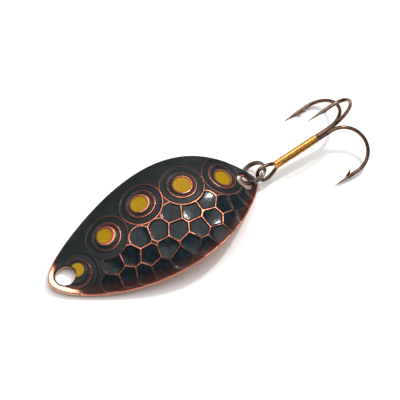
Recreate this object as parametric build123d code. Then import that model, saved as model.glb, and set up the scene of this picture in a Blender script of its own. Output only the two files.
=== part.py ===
"""Spoon lure: a stamped copper blade, a split ring and a brazed treble hook.

Frame: +X runs from the nose to the hook, +Y is the side with the ringed eyes,
+Z is up.  The lure lies on the plane z = 0, convex face up, in millimetres.
"""

import os
from math import cos, pi, radians, sin, sqrt

from build123d import *

# ---------------------------------------------------------------- blade
BLADE_NOSE = -34.2        # blade frame: nose end of the outline
BLADE_LENGTH = 47.3       # plan length, nose to tail
BLADE_GAUGE = 1.05        # sheet thickness
ARCH = (-11.0, 1.13, 2.6)     # lengthwise camber: square, cube, fourth power
ARCH_SPAN = 22.1
CROWN = (-0.82, 1.82)         # crosswise camber: at mid blade, change towards tail
CROWN_SPAN = 8.85
OUTLINE = (15.2, 23.2, 0.15, -27.3)   # half width, see half_width()
TAIL_SWAY = (0.40, -4.0, 17.0)        # sideways set of the tail: amount, start, run
NOSE_HOLE = (-30.8, 2.05)     # station, radius: takes the line or a snap
TAIL_HOLE = (9.5, 1.95)       # station, radius: takes the split ring
CUT_REACH = 30                # cutting prisms run well past the sheet
DISC_HEIGHT = 6               # round cutters, square to the sheet, pass through it
PATCH_MARGIN = 3              # the face patch is this much longer than the blade at each end
PATCH_HALF = 14               # half the width of the face patch

# ------------------------------------------------------- stamped relief
EYES = ((-28.9, -0.85), (-21.3, 2.4), (-13.3, 4.55), (-4.85, 3.8), (4.35, 2.35))
SPOT_RADIUS = 1.8             # enamel spot in the middle of an eye
SMALL_SPOT = (-28.75, -0.45, 1.45)    # the first spot: place and radius
SPOT_POCKET = 0.40            # pocket depth under the sheet surface
SPOT_SUNK = 0.12              # enamel surface under the sheet surface
GROOVES = ((2.3, 2.85), (3.2, 4.55))  # inner and outer radius of the sunk bands
GROOVE_DEPTH = 0.15
DIMPLE_ROWS = (
    ((-16.5, -1.7), (-13.1, -2.4), (-9.5, -0.7), (-6.3, -2.2), (-2.1, -1.7), (0.8, -3.8), (4.0, -4.4)),
    ((-22.5, -3.5), (-19.3, -3.9), (-16.3, -5.8), (-13.0, -6.5), (-9.9, -4.3), (-6.3, -6.0),
     (-2.7, -5.3), (0.8, -7.2)),
    ((-23.9, -6.3), (-20.9, -7.0), (-18.3, -8.2), (-15.3, -9.0), (-11.5, -9.3), (-8.7, -7.9),
     (-6.2, -10.0), (-3.2, -9.0), (7.0, -3.2)),
)
DIMPLE_BALL = 7.5             # radius of the hammer face
DIMPLE_DEPTH = 0.28

# ------------------------------------------------------------ split ring
RING_RADIUS = 2.75            # to the middle of the wire
RING_WIRE = 0.55
RING_STEP = 0.57              # between the two coils
RING_GAP = 25                 # half the crossing zone, degrees

# ---------------------------------------------------------- treble hook
HOOK_WIRE = 0.80
WIRE_OFFSET = 0.468           # shank axis to the middle of each wire
BEND_OUT = 5.42               # first bend radius, leaving the shank
BEND_BACK = 4.70              # second bend radius, turning to the point
POINT_RUN = 5.94              # straight run after the bends, point included
POINT_TAPER = 4.0             # length of the needle, tip included
POINT_TIP = 0.05              # tip radius
BARB = (1.9, -0.75, 0.80)     # along the needle: root, free end; height of the free end
BARB_ROOT = 0.25              # along the needle: where the barb's back leaves the wire
BARB_HALF = 0.15              # half its thickness
EYE_END = 18.2                # bend start to the middle of the wire at the eye end
EYE_RADIUS = 1.55
SHANK_RUN = 12.4              # bend start to where the eye opens
SINGLE_SHORT = 0.0            # the single hook's wire stops this far before the fork
BRAZE = (3.4, 13.6)           # braze, from and to, measured from the bend start
BRAZE_SKIN = 0.10
WEB = (13.9, 0.75)            # fillet of braze in the fork of the eye: reach, thickness
HOOK_ANGLES = (0, 240, 120)   # the doubled pair, then the single hook

# ------------------------------------------------- rest places, lure frame
BLADE_AT = Pos(0.82, 0.0, 8.01) * Rot(0, 15.6, 0)
RING_AT = Pos(12.06, 1.48, 2.585) * Rot(0, 0, 122.6) * Rot(0, 38.5, 0) * Rot(0, 0, 27)
HOOK_AT = Pos(30.05, 1.13, 6.35) * Rot(0, 0, 3.7) * Rot(0, -9.1, 0) * Rot(-151.6, 0, 0)


# ------------------------------------------------------------ blade parts
def camber(x, y):
    """Height of the blade's upper face above its chord plane."""
    u = x / ARCH_SPAN
    arch = ARCH[0] * u**2 + ARCH[1] * u**3 + ARCH[2] * u**4
    return arch + (CROWN[0] + CROWN[1] * u) * (y / CROWN_SPAN) ** 2


def half_width(x):
    """Half the blade's plan width; round at the nose, finer at the tail."""
    t = (x - BLADE_NOSE) / BLADE_LENGTH
    fullness = sum(c * t**power for power, c in enumerate(OUTLINE))
    return sqrt(max(t * (1 - t), 0.0)) * fullness


def on_face(x, y):
    """Point on the upper face."""
    return Vector(x, y, camber(x, y))


def centre_line(x):
    """Middle of the plan; the tail stands a little to the +Y side."""
    amount, start, run = TAIL_SWAY
    return amount * max((x - start) / run, 0.0) ** 2


def face_plane(x, y):
    """Plane that touches the upper face, Z outward."""
    step = 0.01
    along = on_face(x + step, y) - on_face(x - step, y)
    across = on_face(x, y + step) - on_face(x, y - step)
    return Plane(origin=on_face(x, y), x_dir=along, z_dir=along.cross(across))


def upper_face():
    """The cambered face as one smooth patch, larger than the blade."""
    start = BLADE_NOSE - PATCH_MARGIN
    length = BLADE_LENGTH + 2 * PATCH_MARGIN
    stations = [start + length * i / 20 for i in range(21)]
    offsets = [PATCH_HALF * (j / 5 - 1) for j in range(11)]
    grid = [[on_face(x, y) for y in offsets] for x in stations]
    return Face.make_surface_from_array_of_points(grid, tol=0.005, min_deg=3, max_deg=5)


def sheet(depth):
    """Layer of the given depth under the upper face."""
    return Solid.thicken(upper_face(), -depth)


def blade_outline():
    """Plan outline as a prism that cuts the sheet to shape."""
    steps = 16
    stations = [BLADE_NOSE + BLADE_LENGTH * (1 - cos(pi * i / steps)) / 2 for i in range(steps + 1)]
    side = [(x, centre_line(x) + half_width(x)) for x in stations]
    far_side = [(x, centre_line(x) - half_width(x)) for x in reversed(stations[1:-1])]
    return extrude(make_face(Spline(*side, *far_side, periodic=True)), CUT_REACH, both=True)


def disc(x, y, radius):
    """Cylinder square to the upper face, through the sheet."""
    return face_plane(x, y) * Cylinder(radius, DISC_HEIGHT)


def band(x, y, inner, outer):
    """Ring-shaped prism square to the upper face."""
    return disc(x, y, outer) - disc(x, y, inner)


def hammer_ball(x, y):
    """Ball that leaves one hammered scale."""
    return face_plane(x, y) * Pos(0, 0, DIMPLE_BALL - DIMPLE_DEPTH) * Sphere(DIMPLE_BALL)


def spot_places():
    """Place and radius of each enamel spot, nose to tail."""
    return [SMALL_SPOT] + [(x, y, SPOT_RADIUS) for x, y in EYES[1:]]


def line_hole():
    return disc(NOSE_HOLE[0], 0, NOSE_HOLE[1])


def ring_hole():
    return disc(TAIL_HOLE[0], centre_line(TAIL_HOLE[0]), TAIL_HOLE[1])


def make_blade():
    blade = sheet(BLADE_GAUGE) & blade_outline()
    for row in DIMPLE_ROWS:
        for x, y in row:
            blade -= hammer_ball(x, y)
    groove_layer = sheet(GROOVE_DEPTH)
    for x, y in EYES:
        for inner, outer in GROOVES:
            blade -= groove_layer & band(x, y, inner, outer)
    pocket_layer = sheet(SPOT_POCKET)
    for x, y, radius in spot_places():
        blade -= pocket_layer & disc(x, y, radius)
    return blade - line_hole() - ring_hole()


def make_spots():
    """Enamel fills; the first one is cut by the line hole."""
    layer = sheet(SPOT_POCKET) - sheet(SPOT_SUNK)
    spots = [layer & disc(x, y, radius) for x, y, radius in spot_places()]
    spots[0] -= line_hole()
    return spots


# ------------------------------------------------------------- split ring
def make_split_ring():
    """Two coils of wire, stepping over each other in one crossing zone."""
    points = []
    for turn in range(RING_GAP, 720 - RING_GAP + 1, 5):
        past = (turn - (360 - RING_GAP)) / (2 * RING_GAP)
        rise = min(max(past, 0.0), 1.0)
        smooth = rise * rise * (3 - 2 * rise)
        angle = radians(turn)
        height = RING_STEP * (smooth - 0.5)
        points.append((RING_RADIUS * cos(angle), RING_RADIUS * sin(angle), height))
    path = Spline(*points)
    section = Plane(origin=path @ 0, z_dir=path % 0) * Circle(RING_WIRE / 2)
    return sweep(section, path=path)


# ------------------------------------------------------------ treble hook
def on_wire(run, out, angle):
    """Point of a hook wire: run along the shank, out from its axis."""
    return Vector(run, out * cos(radians(angle)), out * sin(radians(angle)))


def hook_curve(angle, shank):
    """Shank, two bends and the straight run, up to where the point tapers."""
    top = WIRE_OFFSET + BEND_OUT
    tip_out = top + BEND_BACK
    back = BEND_OUT - BEND_BACK
    half = sqrt(0.5)
    out_mid = (BEND_OUT * half, top - BEND_OUT * half)
    back_mid = (back + BEND_BACK * half, top + BEND_BACK * half)
    at = [on_wire(run, out, angle) for run, out in (
        (-shank, WIRE_OFFSET), (0, WIRE_OFFSET), out_mid, (BEND_OUT, top), back_mid,
        (back, tip_out), (back - POINT_RUN + POINT_TAPER, tip_out))]
    return [
        Line(at[0], at[1]),
        ThreePointArc(at[1], at[2], at[3]),
        ThreePointArc(at[3], at[4], at[5]),
        Line(at[5], at[6]),
    ]


def run_wire(edges):
    """Round wire along joined edges."""
    path = Wire(edges)
    section = Plane(origin=path @ 0, z_dir=path % 0) * Circle(HOOK_WIRE / 2)
    return sweep(section, path=path)


def hook_point(angle):
    """Needle point with its barb, on the side that faces the shank."""
    out = WIRE_OFFSET + BEND_OUT + BEND_BACK
    start = BEND_OUT - BEND_BACK - POINT_RUN + POINT_TAPER
    seat = Plane(origin=on_wire(start, out, angle), z_dir=(-1, 0, 0))
    radius = HOOK_WIRE / 2
    needle = seat * Pos(0, 0, POINT_TAPER / 2) * Cone(radius, POINT_TIP, POINT_TAPER)
    inward = on_wire(0, -1, angle)
    base = on_wire(start, out, angle)
    along = Vector(-1, 0, 0)
    root, free_end, height = BARB
    corners = [
        base + along * root,
        base + along * free_end + inward * (radius + height),
        base + along * BARB_ROOT,
    ]
    profile = make_face(Polyline(*corners, close=True))
    barb = extrude(profile, BARB_HALF, both=True)
    return needle + barb


def pair_frame():
    """Middle of the wire pair and the direction from one wire to the other."""
    first = on_wire(0, WIRE_OFFSET, HOOK_ANGLES[0])
    second = on_wire(0, WIRE_OFFSET, HOOK_ANGLES[1])
    return (first + second) / 2, (second - first).normalized(), (second - first).length / 2


def in_pair_plane(run, offset):
    """Point in the plane of the wire pair, run towards the eye."""
    middle, across, _ = pair_frame()
    return middle + Vector(-run, 0, 0) + across * offset


def eye_curves():
    """The eye: one wire leaves the pair, goes round and comes back as the other."""
    half_gap = pair_frame()[2]
    back = Vector(-1, 0, 0)
    round_start = EYE_END - EYE_RADIUS
    flare_in = in_pair_plane(round_start, EYE_RADIUS)
    flare_out = in_pair_plane(round_start, -EYE_RADIUS)
    return [
        Spline(in_pair_plane(SHANK_RUN, half_gap), flare_in, tangents=(back, back)),
        ThreePointArc(flare_in, in_pair_plane(EYE_END, 0), flare_out),
        Spline(flare_out, in_pair_plane(SHANK_RUN, -half_gap), tangents=(-back, -back)),
    ]


def make_double_hook():
    """One wire: two hooks whose shanks run side by side into the eye loop."""
    first, second, _ = HOOK_ANGLES
    wire = run_wire(hook_curve(first, SHANK_RUN)) + run_wire(hook_curve(second, SHANK_RUN))
    wire += run_wire(eye_curves())
    return wire + hook_point(first) + hook_point(second)


def make_single_hook():
    angle = HOOK_ANGLES[2]
    return run_wire(hook_curve(angle, SHANK_RUN - SINGLE_SHORT)) + hook_point(angle)


def make_web():
    """Braze in the fork of the eye, with a hollow free edge."""
    reach, thickness = WEB
    square = on_wire(0, 1, HOOK_ANGLES[2])
    curves = eye_curves()
    fork = make_face([*curves, Line(curves[2] @ 1, curves[0] @ 0)])
    round_start = EYE_END - EYE_RADIUS
    opening = Plane(origin=in_pair_plane(round_start, 0), z_dir=square)
    web = extrude(fork, thickness / 2, dir=square, both=True)
    return web - opening * Cylinder(round_start - reach, 4 * thickness)


def make_braze():
    """Brass that fills between the three shank wires, skins them and webs the fork."""
    centres = [(WIRE_OFFSET * cos(radians(a)), WIRE_OFFSET * sin(radians(a))) for a in HOOK_ANGLES]
    section = make_face(Polyline(*centres, close=True))
    for centre in centres:
        section += Pos(*centre) * Circle(HOOK_WIRE / 2 + BRAZE_SKIN)
    start, end = BRAZE
    seat = Plane(origin=(-start, 0, 0), x_dir=(0, 1, 0), z_dir=(-1, 0, 0))
    return extrude(seat * section, end - start) + make_web()


def one_solid(shape):
    """The single solid of a finished piece."""
    solids = shape.solids()
    if len(solids) != 1:
        raise ValueError(f"expected one solid, got {len(solids)}")
    return solids[0]


def main():
    os.makedirs("parts", exist_ok=True)
    double_hook = make_double_hook()
    single_hook = make_single_hook()
    braze = make_braze() - double_hook - single_hook
    nodes = {
        "spoon_blade": BLADE_AT * make_blade(),
        "split_ring": RING_AT * make_split_ring(),
        "double_hook": HOOK_AT * double_hook,
        "single_hook": HOOK_AT * single_hook,
        "shank_braze": HOOK_AT * braze,
    }
    for number, spot in enumerate(make_spots(), start=1):
        nodes[f"eye_spot_{number}"] = BLADE_AT * spot
    for name, shape in nodes.items():
        export_step(one_solid(shape), f"parts/{name}.step")


main()
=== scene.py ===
"""Looks of the spoon lure: relief-stamped copper blade, enamel eyes, split ring, treble hook.

All sizes in the helper functions are millimetres in the blade's own frame; MM turns them to metres.
"""

import math

import bpy
import numpy as np
from mathutils import Matrix, Vector


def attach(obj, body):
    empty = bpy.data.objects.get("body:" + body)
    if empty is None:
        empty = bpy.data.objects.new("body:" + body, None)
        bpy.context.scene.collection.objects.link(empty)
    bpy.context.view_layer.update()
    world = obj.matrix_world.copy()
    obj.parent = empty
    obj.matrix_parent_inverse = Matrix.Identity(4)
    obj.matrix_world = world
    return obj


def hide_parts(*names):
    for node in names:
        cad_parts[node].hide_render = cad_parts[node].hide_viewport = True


MM = 0.001

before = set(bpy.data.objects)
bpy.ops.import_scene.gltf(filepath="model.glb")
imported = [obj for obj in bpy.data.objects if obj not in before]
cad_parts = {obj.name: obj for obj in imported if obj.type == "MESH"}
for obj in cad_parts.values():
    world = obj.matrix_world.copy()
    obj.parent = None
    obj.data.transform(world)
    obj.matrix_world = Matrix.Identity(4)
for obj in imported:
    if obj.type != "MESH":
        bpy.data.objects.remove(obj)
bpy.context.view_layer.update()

# ------------------------------------------------------------------ blade sizes, as in the CAD
NOSE, LENGTH, GAUGE = -34.2, 47.3, 1.05
ARCH, ARCH_SPAN = (-11.0, 1.13, 2.6), 22.1
CROWN, CROWN_SPAN = (-0.82, 1.82), 8.85
OUTLINE = (15.2, 23.2, 0.15, -27.3)
TAIL_SWAY = (0.40, -4.0, 17.0)
HOLES = ((-30.8, 2.05), (9.5, 1.95))
BLADE_PITCH, BLADE_PLACE = math.radians(15.6), (0.82, 0.0, 8.01)
EYES = ((-28.9, -0.85), (-21.3, 2.4), (-13.3, 4.55), (-4.85, 3.8), (4.35, 2.35))
# enamel spots: x, y, radius; they sit a little off their rings, as hand-dropped enamel does
SPOTS = (
    (-28.45, -0.25, 1.45), (-21.45, 2.85, 1.62), (-13.55, 4.75, 1.76), (-4.80, 3.82, 1.84),
    (4.22, 2.0, 1.74),
)
# copper lip at each spot: strength, extra width, side it is widest on (degrees)
LIPS = ((0.0, 0.0, 0), (1.0, 0.26, -30), (0.95, 0.12, 0), (0.9, 0.05, -30), (0.8, 0.08, 0))
# bare copper on the rings of each eye: inner pair, outer, side they are brightest on
WORN_RINGS = ((0.45, 0.0, -30), (0.75, 0.40, -10), (1.0, 1.0, -70), (1.0, 0.95, -100), (0.85, 0.6, -130))
POCKET = 0.40
# stamped bands and crests of an eye: radii from its middle
INNER_BAND, OUTER_BAND, BAND_DEPTH = (2.25, 2.66), (3.20, 4.38), 0.16
CREST, SMALL_CREST = 3.04, 2.72
CELLS = (
    (-16.5, -1.7), (-13.1, -2.4), (-9.5, -0.7), (-6.3, -2.2), (-2.1, -1.7), (0.8, -3.8), (4.0, -4.4),
    (-22.5, -3.5), (-19.3, -3.9), (-16.3, -5.8), (-13.0, -6.5), (-9.9, -4.3), (-6.3, -6.0),
    (-2.7, -5.3), (0.8, -7.2),
    (-23.9, -6.3), (-20.9, -7.0), (-18.3, -8.2), (-15.3, -9.0), (-11.5, -9.3), (-8.7, -7.9),
    (-6.2, -10.0), (-3.2, -9.0), (7.0, -3.2), (9.6, -3.0), (4.3, -7.4),
)
CELL_REACH = 2.35
# edge radii: upper rim, lower rim, both holes
TOP_ROUND, UNDER_ROUND, HOLE_ROUND = 0.34, 0.30, 0.26
HOLE_PLAY = 0.02    # between the line hole and the enamel it cuts
EYE_OUTER = 4.62

# ------------------------------------------------------------------ treble hook's frame, as in the CAD
HOOK_PLACE = (30.05, 1.13, 6.35)
HOOK_TURN = (3.7, -9.1, -151.6)
HOOK_AXES = [
    tuple(axis) for axis in (
        Matrix.Rotation(math.radians(HOOK_TURN[0]), 3, "Z")
        @ Matrix.Rotation(math.radians(HOOK_TURN[1]), 3, "Y")
        @ Matrix.Rotation(math.radians(HOOK_TURN[2]), 3, "X")
    ).transposed()
]


def camber(x, y):
    u = x / ARCH_SPAN
    arch = ARCH[0] * u**2 + ARCH[1] * u**3 + ARCH[2] * u**4
    return arch + (CROWN[0] + CROWN[1] * u) * (y / CROWN_SPAN) ** 2


def half_width(x):
    t = np.clip((x - NOSE) / LENGTH, 0.0, 1.0)
    fullness = OUTLINE[0] + OUTLINE[1] * t + OUTLINE[2] * t**2 + OUTLINE[3] * t**3
    return np.sqrt(t * (1 - t)) * fullness


def centre_line(x):
    amount, start, run = TAIL_SWAY
    return amount * np.maximum((x - start) / run, 0.0) ** 2


def on_face(x, y):
    return np.stack([x, y, camber(x, y)], -1)


def face_normal(x, y):
    step = 0.01
    along = on_face(x + step, y) - on_face(x - step, y)
    across = on_face(x, y + step) - on_face(x, y - step)
    normal = np.cross(along, across)
    return normal / np.linalg.norm(normal, axis=-1, keepdims=True)


def smooth(low, high, value):
    t = np.clip((value - low) / (high - low), 0.0, 1.0)
    return t * t * (3 - 2 * t)


def line(value, middle, width):
    """Soft line, 1 on the middle, fading over the width."""
    return np.exp(-((value - middle) / width) ** 2)


def plateau(value, low, high, soft):
    return smooth(low - soft, low + soft, value) * (1 - smooth(high - soft, high + soft, value))


def rim_distance(x, y):
    """Distance to the plan outline."""
    steps = np.linspace(0, math.pi, 500)
    ox = NOSE + LENGTH * (1 - np.cos(steps)) / 2
    oy = half_width(ox)
    flat_x, flat_y = x.ravel(), np.abs(y - centre_line(x)).ravel()
    found = np.empty(flat_x.size)
    chunk = 20000
    for start in range(0, flat_x.size, chunk):
        dx = flat_x[start:start + chunk, None] - ox
        dy = flat_y[start:start + chunk, None] - oy
        found[start:start + chunk] = np.sqrt((dx * dx + dy * dy).min(1))
    return found.reshape(x.shape)


def rounding(distance, radius):
    """How far a rounded edge falls away at this distance inside it."""
    d = np.clip(distance, 0.0, radius)
    return radius - np.sqrt(np.maximum(radius**2 - (radius - d) ** 2, 0.0))


def side_weight(delta, side):
    """1 on the named side of an eye, 0 opposite."""
    angle = np.arctan2(delta[..., 1], delta[..., 0]) - math.radians(side)
    return 0.5 + 0.5 * np.cos(angle)


def eye_relief(points):
    """Height and bare-copper share of the stamped eyes, and each point's distance to the nearest eye."""
    height = np.zeros(points.shape[:-1])
    copper = np.zeros_like(height)
    nearest = np.full_like(height, 99.0)
    for (ex, ey), (sx, sy, radius), lip, worn in zip(EYES, SPOTS, LIPS, WORN_RINGS):
        delta = points - on_face(np.float64(ex), np.float64(ey))
        r = np.linalg.norm(delta, axis=-1)
        from_spot = points - on_face(np.float64(sx), np.float64(sy))
        spot_r = np.linalg.norm(from_spot, axis=-1)
        strength, wide, lip_side = lip
        inner_worn, outer_worn, ring_side = worn
        lip_width = 0.11 + wide * side_weight(from_spot, lip_side) ** 2
        lip_line = line(spot_r, radius + 0.10 + 0.8 * lip_width, lip_width)
        near_side = side_weight(delta, ring_side)
        shape = -BAND_DEPTH * plateau(r, *OUTER_BAND, 0.12)
        shape -= BAND_DEPTH * plateau(r, *INNER_BAND, 0.10) * (1 - np.clip(lip_line, 0, 1))
        shape += 0.07 * line(r, 3.02, 0.13) + 0.05 * lip_line * strength
        shape += 0.04 * line(r, EYE_OUTER - 0.05, 0.12)
        shade = strength * lip_line * (0.35 + 0.65 * side_weight(from_spot, lip_side))
        shade += inner_worn * line(r, CREST, 0.060) * (0.30 + 0.70 * near_side)
        shade += inner_worn * line(r, SMALL_CREST, 0.048) * (0.20 + 0.55 * near_side)
        shade += outer_worn * line(r, EYE_OUTER - 0.05, 0.075) * (0.15 + 0.85 * near_side)
        mine = r < nearest
        use = mine & (r < EYE_OUTER + 0.45)
        pocket = spot_r < radius
        height = np.where(use, np.where(pocket, -POCKET, shape), height)
        copper = np.where(use, np.clip(np.where(pocket, 0, shade), 0, 1), copper)
        nearest = np.where(mine, r, nearest)
    return height, copper, nearest


def cell_relief(points, eye_distance, rim):
    """Hammered scales: slightly tilted bowls parted by thin ridges."""
    centres = np.array([on_face(np.float64(x), np.float64(y)) for x, y in CELLS])
    tilts = np.random.default_rng(7).uniform(-0.055, 0.055, (len(CELLS), 2))
    d = np.linalg.norm(points[..., None, :] - centres, axis=-1)
    order = np.argsort(d, axis=-1)[..., :4]
    nearest = np.take_along_axis(d, order[..., :1], -1)[..., 0]
    edge = CELL_REACH - nearest
    for rank in (1, 2, 3):
        other = np.take_along_axis(d, order[..., rank:rank + 1], -1)[..., 0]
        gap = np.linalg.norm(centres[order[..., 0]] - centres[order[..., rank]], axis=-1)
        edge = np.minimum(edge, (other**2 - nearest**2) / (2 * gap))
    edge = np.minimum(edge, eye_distance - EYE_OUTER - 0.02)
    inside = smooth(0.0, 0.34, edge)
    bowl = np.clip(1 - (nearest / CELL_REACH) ** 2, 0, 1)
    own = order[..., 0]
    offset = points[..., :2] - centres[own][..., :2]
    lean = (offset * tilts[own]).sum(-1)
    height = -inside * (0.13 + 0.22 * bowl - lean) * smooth(0.0, 0.45, rim)
    ridge = line(edge, 0.0, 0.072)
    return height, ridge, edge


def ridge_wear(x, y):
    """Where the scales' ridges are rubbed bright: most at the crown, least by the nose and the tail."""
    crown = smooth(-9.8, -5.2, y) * smooth(-25.0, -18.5, x)
    tail = 1 - 0.75 * smooth(0.5, 3.0, x)
    breaks = 0.5 + 0.5 * np.sin(1.9 * x + 2.6 * np.sin(1.3 * y)) * np.sin(1.7 * y + 0.8)
    return (0.24 + 0.76 * crown) * tail * (0.62 + 0.55 * breaks)


def blade_mesh():
    """Closed mesh of the blade with its relief, rim and holes; attributes carry the wear."""
    n_long, n_wide = 680, 320
    t = np.linspace(0, 1, n_long + 1)
    s = np.linspace(-1, 1, n_wide + 1)
    x = NOSE + LENGTH * (1 - np.cos(math.pi * t)) / 2
    x_grid = np.repeat(x[:, None], n_wide + 1, 1)
    y_grid = centre_line(x_grid) + half_width(x_grid) * np.sin(0.5 * math.pi * s)[None, :]
    face = on_face(x_grid, y_grid)
    normal = face_normal(x_grid, y_grid)
    rim = rim_distance(x_grid, y_grid)
    eye_height, eye_copper, eye_distance = eye_relief(face)
    cell_height, ridge, edge = cell_relief(face, eye_distance, rim)
    in_eye = eye_distance < EYE_OUTER + 0.12
    relief = np.where(in_eye, eye_height, cell_height)
    nose_wear = smooth(-29.6, -32.6, x_grid + 0.25 * y_grid)
    bead = nose_wear * (1 - smooth(0.7, 1.35, rim))
    relief = relief * (1 - bead)

    hole_band = np.full_like(rim, 9.0)
    drop_hole = np.zeros_like(rim)
    inside_hole = np.zeros(rim.shape, bool)
    top_shift = np.zeros_like(face)
    for hx, radius in HOLES:
        hy = centre_line(hx)
        centre = on_face(np.float64(hx), hy)
        axis = face_normal(np.float64(hx), hy)
        delta = face - centre
        flat = delta - axis * (delta @ axis)[..., None]
        r = np.linalg.norm(flat, axis=-1)
        inside = r < radius
        inside_hole |= inside
        push = np.where(inside, radius - r, 0.0)
        top_shift += flat / np.maximum(r, 1e-6)[..., None] * push[..., None]
        outside = np.maximum(r - radius, 0)
        drop_hole = np.maximum(drop_hole, np.where(r < radius + 1.0, rounding(outside, HOLE_ROUND), 0))
        hole_band = np.minimum(hole_band, outside)
    drop = np.maximum(rounding(rim, TOP_ROUND), drop_hole)
    top = face + top_shift + normal * (relief - drop)[..., None]
    rise = np.maximum(rounding(rim, UNDER_ROUND), drop_hole)
    under = face + top_shift - normal * (GAUGE - rise)[..., None]

    quads, walls = grid_faces(inside_hole)
    count = face[..., 0].size
    faces = np.vstack([quads, quads[:, ::-1] + count, walls])
    verts = np.vstack([top.reshape(-1, 3), under.reshape(-1, 3)])

    far_edge = smooth(1.5, 3.5, y_grid - centre_line(x_grid)) * smooth(-30.5, -27.0, x_grid)
    rim_copper = (1 - smooth(0.06, 0.26 + 0.16 * (1 - far_edge), rim)) * (1 - 0.55 * far_edge)
    rim_copper = np.maximum(rim_copper, bead * smooth(0.20, 0.42, hole_band))
    ridge_copper = ridge * ridge_wear(x_grid, y_grid) * np.where(in_eye, 0, 1)
    ridge_copper = ridge_copper * (1 - smooth(-0.5, 1.5, y_grid - centre_line(x_grid) - 4.5))
    copper = np.maximum.reduce([eye_copper, ridge_copper, rim_copper])
    near_edge = smooth(2.4, 0.2, rim) * smooth(1.0, -3.0, y_grid)
    fields = {
        "copper": np.concatenate([copper.ravel(), np.ones(count)]),
        "polish": np.concatenate([bead.ravel(), np.full(count, 0.35)]),
        "blush": np.concatenate([near_edge.ravel(), np.zeros(count)]),
        "scale": np.concatenate([(smooth(0.0, 0.4, edge) * ~in_eye).ravel(), np.zeros(count)]),
        "under": np.concatenate([np.zeros(count), np.ones(count)]),
    }
    return verts, faces, fields


def grid_faces(inside_hole):
    """Quads of the grid outside the holes, and the wall quads round the rim and the holes."""
    rows, columns = inside_hole.shape
    index = np.arange(rows * columns).reshape(rows, columns)
    a, b = index[:-1, :-1], index[1:, :-1]
    c, d = index[1:, 1:], index[:-1, 1:]
    keep = ~(inside_hole[:-1, :-1] & inside_hole[1:, :-1] & inside_hole[1:, 1:] & inside_hole[:-1, 1:])
    keep[0, :] = keep[-1, :] = False
    quads = np.stack([a, b, c, d], -1)[keep]
    starts = quads.ravel()
    ends = np.roll(quads, -1, 1).ravel()
    total = rows * columns
    forward = starts.astype(np.int64) * total + ends
    backward = ends.astype(np.int64) * total + starts
    lonely = ~np.isin(forward, backward)
    p, q = starts[lonely], ends[lonely]
    walls = np.stack([q, p, p + total, q + total], -1)
    return quads, walls


def spot_rows(x, y, radius):
    """Plan grid of one enamel spot; the first spot's near edge is the line hole's arc."""
    across = np.linspace(-1, 1, 41)
    along = np.linspace(0, 1, 41)
    hole_x, hole_radius = HOLES[0]
    if x - radius < hole_x + hole_radius:
        low, high = hole_chord(x, y, radius, hole_x, hole_radius)
        rows = 0.5 * (low + high) + 0.5 * (high - low) * np.sin(0.5 * math.pi * across)
        start = hole_x + np.sqrt(np.maximum((hole_radius + HOLE_PLAY) ** 2 - rows**2, 0))
        end = x + np.sqrt(np.maximum(radius**2 - (rows - y) ** 2, 0))
    else:
        rows = y + radius * np.sin(0.5 * math.pi * across)
        half = np.sqrt(np.maximum(radius**2 - (rows - y) ** 2, 0))
        start, end = x - half, x + half
    end = np.maximum(end, start)
    grid_x = start[:, None] + (end - start)[:, None] * along[None, :]
    return grid_x, np.repeat(rows[:, None], along.size, 1)


def hole_chord(x, y, radius, hole_x, hole_radius):
    """Rows between which the spot lies outside the hole on its tail side."""
    rows = np.linspace(y - radius, y + radius, 2001)
    start = hole_x + np.sqrt(np.maximum((hole_radius + HOLE_PLAY) ** 2 - rows**2, 0))
    end = x + np.sqrt(np.maximum(radius**2 - (rows - y) ** 2, 0))
    good = rows[end > start + 0.01]
    return good.min(), good.max()


def spot_mesh(x, y, radius):
    """Enamel fill: level in the middle, drawn up a little at its edge."""
    grid_x, grid_y = spot_rows(x, y, radius)
    face, normal = on_face(grid_x, grid_y), face_normal(grid_x, grid_y)
    r = np.hypot(grid_x - x, grid_y - y) / radius
    skin = -0.20 + 0.09 * r**4 - 0.05 * smooth(0.93, 1.0, r)
    top = face + normal * skin[..., None]
    under = face - normal * (POCKET - 0.01)
    rows, columns = grid_x.shape
    index = np.arange(rows * columns).reshape(rows, columns)
    quads = np.stack([index[:-1, :-1], index[:-1, 1:], index[1:, 1:], index[1:, :-1]], -1).reshape(-1, 4)
    rim = np.concatenate([index[0, :], index[1:, -1], index[-1, -2::-1], index[-2:0:-1, 0]])
    after = np.roll(rim, -1)
    total = rows * columns
    walls = np.stack([after, rim, rim + total, after + total], -1)
    faces = np.vstack([quads, quads[:, ::-1] + total, walls])
    return np.vstack([top.reshape(-1, 3), under.reshape(-1, 3)]), faces


def make_object(name, verts, faces, fields=None):
    """Smooth-shaded mesh object from arrays, in metres."""
    mesh = bpy.data.meshes.new(name)
    used, compact = np.unique(faces.ravel(), return_inverse=True)
    compact = compact.reshape(-1)
    mesh.vertices.add(len(used))
    mesh.vertices.foreach_set("co", (verts[used] * MM).astype(np.float32).ravel())
    sides = faces.shape[1]
    mesh.loops.add(compact.size)
    mesh.loops.foreach_set("vertex_index", compact.astype(np.int32))
    mesh.polygons.add(len(faces))
    mesh.polygons.foreach_set("loop_start", np.arange(len(faces), dtype=np.int32) * sides)
    mesh.polygons.foreach_set("use_smooth", np.ones(len(faces), bool))
    mesh.update(calc_edges=True)
    mesh.validate()
    for field, values in (fields or {}).items():
        attribute = mesh.attributes.new(field, "FLOAT", "POINT")
        attribute.data.foreach_set("value", values[used].astype(np.float32))
    obj = bpy.data.objects.new(name, mesh)
    bpy.context.scene.collection.objects.link(obj)
    return obj


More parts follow.
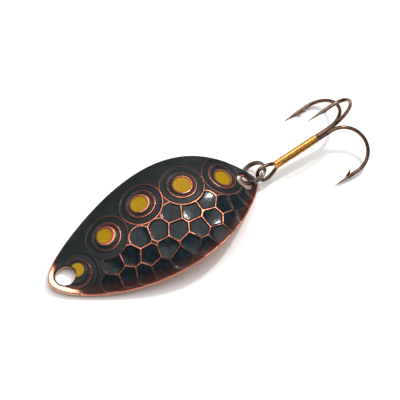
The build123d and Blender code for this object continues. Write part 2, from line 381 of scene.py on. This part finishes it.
# ------------------------------------------------------------------ materials
class Nodes:
    """Small helper that builds a node tree."""

    def __init__(self, name):
        self.material = bpy.data.materials.new(name)
        self.material.use_nodes = True
        self.tree = self.material.node_tree
        self.tree.nodes.clear()
        self.shader = self.add("ShaderNodeBsdfPrincipled")
        out = self.add("ShaderNodeOutputMaterial")
        self.tree.links.new(self.shader.outputs[0], out.inputs["Surface"])
        self.coords = self.add("ShaderNodeTexCoord").outputs["Object"]

    def add(self, kind, **settings):
        node = self.tree.nodes.new(kind)
        for key, value in settings.items():
            setattr(node, key, value)
        return node

    def feed(self, socket, value):
        if isinstance(value, bpy.types.NodeSocket):
            self.tree.links.new(value, socket)
        elif isinstance(value, (tuple, list)) and len(value) == 3 and socket.type == "RGBA":
            socket.default_value = (*value, 1.0)
        else:
            socket.default_value = value

    def set(self, **inputs):
        for key, value in inputs.items():
            self.feed(self.shader.inputs[key.replace("_", " ")], value)

    def attribute(self, name):
        return self.add("ShaderNodeAttribute", attribute_name=name).outputs["Fac"]

    def noise(self, scale, detail=3.0, rough=0.55, coords=None, distortion=0.0):
        node = self.add("ShaderNodeTexNoise")
        self.feed(node.inputs["Vector"], coords or self.coords)
        node.inputs["Scale"].default_value = scale
        node.inputs["Detail"].default_value = detail
        node.inputs["Roughness"].default_value = rough
        node.inputs["Distortion"].default_value = distortion
        return node.outputs["Fac"]

    def stretched(self, scale):
        node = self.add("ShaderNodeMapping")
        self.feed(node.inputs["Vector"], self.coords)
        node.inputs["Scale"].default_value = scale
        return node.outputs["Vector"]

    def math(self, operation, a, b=0.0, c=0.0, clamp=False):
        node = self.add("ShaderNodeMath", operation=operation, use_clamp=clamp)
        for socket, value in zip(node.inputs, (a, b, c)):
            self.feed(socket, value)
        return node.outputs[0]

    def ramp(self, value, low, high, to_low=0.0, to_high=1.0):
        node = self.add("ShaderNodeMapRange", interpolation_type="SMOOTHSTEP")
        for key, entry in (("Value", value), ("From Min", low), ("From Max", high),
                           ("To Min", to_low), ("To Max", to_high)):
            self.feed(node.inputs[key], entry)
        return node.outputs[0]

    def mix(self, factor, a, b):
        node = self.add("ShaderNodeMix", data_type="RGBA")
        self.feed(node.inputs["Factor"], factor)
        self.feed(node.inputs[6], a)
        self.feed(node.inputs[7], b)
        return node.outputs[2]

    def bump(self, height, strength, distance):
        node = self.add("ShaderNodeBump")
        self.feed(node.inputs["Height"], height)
        node.inputs["Strength"].default_value = strength
        node.inputs["Distance"].default_value = distance
        return node.outputs["Normal"]


def copper_material():
    """Dark patina in the hollows, bare copper on the high lines, polished nose."""
    m = Nodes("antique_copper")
    blotch = m.noise(260, 4, 0.6)
    fine = m.noise(2400, 3, 0.6)
    ripple = m.noise(900, 2, 0.5)
    hair = m.noise(60, 2, 0.6, coords=m.stretched((1, 14, 1)))
    scale = m.attribute("scale")
    polish = m.attribute("polish")
    wear = m.math("MULTIPLY", m.attribute("copper"), m.ramp(blotch, 0.30, 0.60, 0.70, 1.15))
    wear = m.math("ADD", wear, m.ramp(fine, 0.3, 0.7, -0.06, 0.06))
    bare = m.ramp(wear, 0.20, 0.62)
    under = m.attribute("under")
    patina = m.mix(m.ramp(blotch, 0.35, 0.7), (0.0080, 0.0102, 0.0108), (0.0150, 0.0185, 0.0198))
    wet = m.mix(m.ramp(ripple, 0.35, 0.7), (0.0035, 0.0065, 0.0085), (0.0085, 0.0165, 0.0210))
    patina = m.mix(scale, patina, wet)
    patina = m.mix(m.math("MULTIPLY", m.attribute("blush"), 0.70), patina, (0.060, 0.015, 0.010))
    faint = m.ramp(wear, 0.05, 0.22, 0.0, 0.75)
    patina = m.mix(faint, patina, (0.130, 0.035, 0.022))
    copper = m.mix(m.ramp(fine, 0.35, 0.7), (0.56, 0.165, 0.098), (0.74, 0.255, 0.155))
    copper = m.mix(polish, copper, (0.93, 0.47, 0.30))
    back = m.mix(m.ramp(blotch, 0.35, 0.75), (0.80, 0.40, 0.26), (0.55, 0.24, 0.15))
    copper = m.mix(under, copper, back)
    m.set(Base_Color=m.mix(bare, patina, copper), Metallic=bare)
    patina_rough = m.ramp(scale, 0, 1, 0.38, 0.13)
    rough = m.math("ADD", m.math("MULTIPLY", m.math("SUBTRACT", 1.0, bare), patina_rough),
                   m.math("MULTIPLY", bare, 0.27))
    rough = m.math("ADD", rough, m.ramp(fine, 0.3, 0.7, -0.03, 0.06))
    m.set(Roughness=m.math("SUBTRACT", rough, m.math("MULTIPLY", polish, 0.14)))
    m.shader.inputs["Specular IOR Level"].default_value = 0.17
    height = m.math("ADD", m.math("MULTIPLY", fine, 0.4), m.math("MULTIPLY", hair, 0.4))
    height = m.math("ADD", height, m.math("MULTIPLY", m.math("MULTIPLY", ripple, scale), 2.2))
    m.set(Normal=m.bump(height, 0.30, 0.00005))
    return m.material


def enamel_material():
    """Mustard enamel with a faint speckle and a soft skin."""
    m = Nodes("mustard_enamel")
    speck = m.noise(5200, 2, 0.7)
    cloud = m.noise(700, 2, 0.5)
    colour = m.mix(m.ramp(speck, 0.35, 0.68), (0.300, 0.165, 0.0008), (0.400, 0.228, 0.0018))
    colour = m.mix(m.ramp(cloud, 0.3, 0.7, 0.0, 0.4), colour, (0.255, 0.140, 0.0010))
    m.set(Base_Color=colour, Roughness=m.ramp(cloud, 0.3, 0.7, 0.34, 0.46))
    m.shader.inputs["Specular IOR Level"].default_value = 0.12
    m.set(Normal=m.bump(speck, 0.15, 0.00003))
    return m.material


def wire_material(name, dark, light, rough, scale):
    """Drawn and plated wire: lengthwise tone changes, small rubs and fine marks."""
    m = Nodes(name)
    patch = m.noise(scale, 3, 0.55)
    fine = m.noise(6000, 2, 0.6)
    m.set(Base_Color=m.mix(m.ramp(patch, 0.35, 0.70), dark, light), Metallic=1.0)
    grain = m.math("MULTIPLY", m.ramp(fine, 0.3, 0.7), 0.05)
    m.set(Roughness=m.math("ADD", m.ramp(patch, 0.3, 0.7, rough, rough + 0.08), grain))
    m.set(Normal=m.bump(fine, 0.12, 0.00002))
    return m


def shank_coordinates(m):
    """Distance run from the bends towards the eye, and distance out from the shank's axis, in mm."""
    start = m.add("ShaderNodeVectorMath", operation="SUBTRACT")
    m.feed(start.inputs[0], m.coords)
    start.inputs[1].default_value = [v * MM for v in HOOK_PLACE]
    parts = []
    for axis in HOOK_AXES:
        dot = m.add("ShaderNodeVectorMath", operation="DOT_PRODUCT")
        m.feed(dot.inputs[0], start.outputs[0])
        dot.inputs[1].default_value = axis
        parts.append(dot.outputs["Value"])
    run = m.math("MULTIPLY", parts[0], -1 / MM)
    out = m.math("SQRT", m.math("ADD", m.math("MULTIPLY", parts[1], parts[1]),
                                m.math("MULTIPLY", parts[2], parts[2])))
    return run, m.math("MULTIPLY", out, 1 / MM)


def hook_material():
    """Bronzed hook wire; the braze has run a little way up the fork of the eye."""
    m = wire_material("bronzed_steel", (0.080, 0.042, 0.028), (0.230, 0.135, 0.092), 0.14, 500)
    run, _ = shank_coordinates(m)
    gold = m.math("MULTIPLY", m.ramp(run, 12.0, 12.6), m.ramp(run, 14.3, 13.6))
    base = m.shader.inputs["Base Color"].links[0].from_socket
    m.set(Base_Color=m.mix(gold, base, (0.52, 0.27, 0.07)))
    return m.material


def braze_material():
    """Brass braze: gold over the wires, painted shade darkening the grooves between them, copper grains
    and small pits.
    """
    m = Nodes("braze_brass")
    run, out = shank_coordinates(m)
    grain = m.noise(2600, 3, 0.65)
    pits = m.noise(1500, 4, 0.7, distortion=0.4)
    colour = m.mix(m.ramp(grain, 0.35, 0.65), (0.56, 0.25, 0.045), (0.80, 0.43, 0.11))
    colour = m.mix(m.ramp(pits, 0.54, 0.68, 0.0, 0.75), colour, (0.19, 0.07, 0.02))
    groove_edge = m.math("ADD", out, m.ramp(grain, 0.3, 0.7, -0.05, 0.05))
    # painted shade: the grooves between the wires are darkened to deep brown for the shade that falls
    # there; the same mask also roughens them
    groove_painted_shade = m.math("MULTIPLY", m.ramp(groove_edge, 0.84, 0.74), m.ramp(run, 12.7, 12.1))
    colour = m.mix(m.math("MULTIPLY", groove_painted_shade, 0.85), colour, (0.115, 0.048, 0.015))
    m.set(Base_Color=colour, Metallic=1.0)
    m.set(Roughness=m.math("ADD", m.ramp(grain, 0.3, 0.7, 0.20, 0.34), m.math("MULTIPLY", groove_painted_shade, 0.2)))
    m.set(Normal=m.bump(m.math("ADD", grain, m.math("MULTIPLY", pits, 0.8)), 0.40, 0.00006))
    return m.material


def floor_material():
    m = Nodes("pale_floor")
    soft = m.noise(14, 2, 0.5)
    m.set(Base_Color=m.mix(soft, (0.93, 0.93, 0.93), (0.95, 0.95, 0.945)), Roughness=0.9)
    m.shader.inputs["Specular IOR Level"].default_value = 0.1
    return m.material


def paint(obj, material):
    obj.data.materials.clear()
    obj.data.materials.append(material)
    for polygon in obj.data.polygons:
        polygon.use_smooth = True


# ------------------------------------------------------------------ pieces
def blade_place():
    return Matrix.Translation(Vector(BLADE_PLACE) * MM) @ Matrix.Rotation(BLADE_PITCH, 4, "Y")


def build_blade():
    verts, faces, fields = blade_mesh()
    blade = make_object("blade_relief", verts, faces, fields)
    blade.data.transform(blade_place())
    blade.data.materials.append(copper_material())
    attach(blade, "blade")
    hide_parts("spoon_blade")


def build_spots():
    enamel = enamel_material()
    for number, (x, y, radius) in enumerate(SPOTS, start=1):
        verts, faces = spot_mesh(x, y, radius)
        spot = make_object(f"enamel_{number}", verts, faces)
        spot.data.transform(blade_place())
        spot.data.materials.append(enamel)
        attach(spot, "blade")
        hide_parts(f"eye_spot_{number}")


def dress_nodes():
    """Finishes for the CAD nodes that stay."""
    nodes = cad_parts
    nickel = wire_material("dark_nickel", (0.150, 0.118, 0.098), (0.320, 0.280, 0.245), 0.12, 420)
    paint(nodes["split_ring"], nickel.material)
    bronzed = hook_material()
    paint(nodes["double_hook"], bronzed)
    paint(nodes["single_hook"], bronzed)
    paint(nodes["shank_braze"], braze_material())


# ------------------------------------------------------------------ stage, light, camera
def build_floor():
    size = 0.9
    mesh = bpy.data.meshes.new("floor")
    corners = [(-size, -size, 0), (size, -size, 0), (size, size, 0), (-size, size, 0)]
    mesh.from_pydata(corners, [], [(0, 1, 2, 3)])
    floor = bpy.data.objects.new("floor", mesh)
    bpy.context.scene.collection.objects.link(floor)
    floor.data.materials.append(floor_material())


def area_light(name, place, target, size, power, colour=(1, 1, 1)):
    light = bpy.data.lights.new(name, "AREA")
    light.shape = "RECTANGLE"
    light.size, light.size_y = size
    light.energy = power
    light.color = colour
    obj = bpy.data.objects.new(name, light)
    obj.location = place
    obj.rotation_euler = (Vector(target) - Vector(place)).to_track_quat("-Z", "Y").to_euler()
    bpy.context.scene.collection.objects.link(obj)


def build_light():
    world = bpy.data.worlds.new("studio")
    bpy.context.scene.world = world
    world.use_nodes = True
    background = world.node_tree.nodes["Background"]
    background.inputs["Color"].default_value = (1.0, 1.0, 1.0, 1.0)
    background.inputs["Strength"].default_value = 0.34
    area_light("softbox", (0.06, 0.12, 0.52), (0, 0, 0), (0.62, 0.56), 3.1)
    area_light("spark", (0.23, 0.09, 0.44), (0, 0, 0), (0.035, 0.035), 1.0)


def build_camera():
    """Long-lens view from above the nose's near side, a little rolled."""
    azimuth, elevation, roll = math.radians(-39.18), math.radians(63.71), math.radians(9.57)
    distance, lens = 0.354, 154.8
    back = Vector((math.sin(azimuth) * math.cos(elevation), -math.cos(azimuth) * math.cos(elevation),
                   math.sin(elevation)))
    level = Vector((math.cos(azimuth), math.sin(azimuth), 0))
    rise = back.cross(level)
    right = level * math.cos(roll) + rise * math.sin(roll)
    up = back.cross(right)
    turn = Matrix((right, up, back)).transposed().to_4x4()
    data = bpy.data.cameras.new("camera")
    data.lens, data.sensor_width = lens, 36.0
    data.shift_x, data.shift_y = -0.02268, 0.01665
    data.clip_start, data.clip_end = 0.01, 10
    camera = bpy.data.objects.new("camera", data)
    aim = Vector((0.82, 0, 0.406)) * MM
    camera.matrix_world = Matrix.Translation(aim + back * distance) @ turn
    bpy.context.scene.collection.objects.link(camera)
    bpy.context.scene.camera = camera
    bpy.context.scene.view_settings.view_transform = "Standard"


build_blade()
build_spots()
dress_nodes()
build_floor()
build_light()
build_camera()
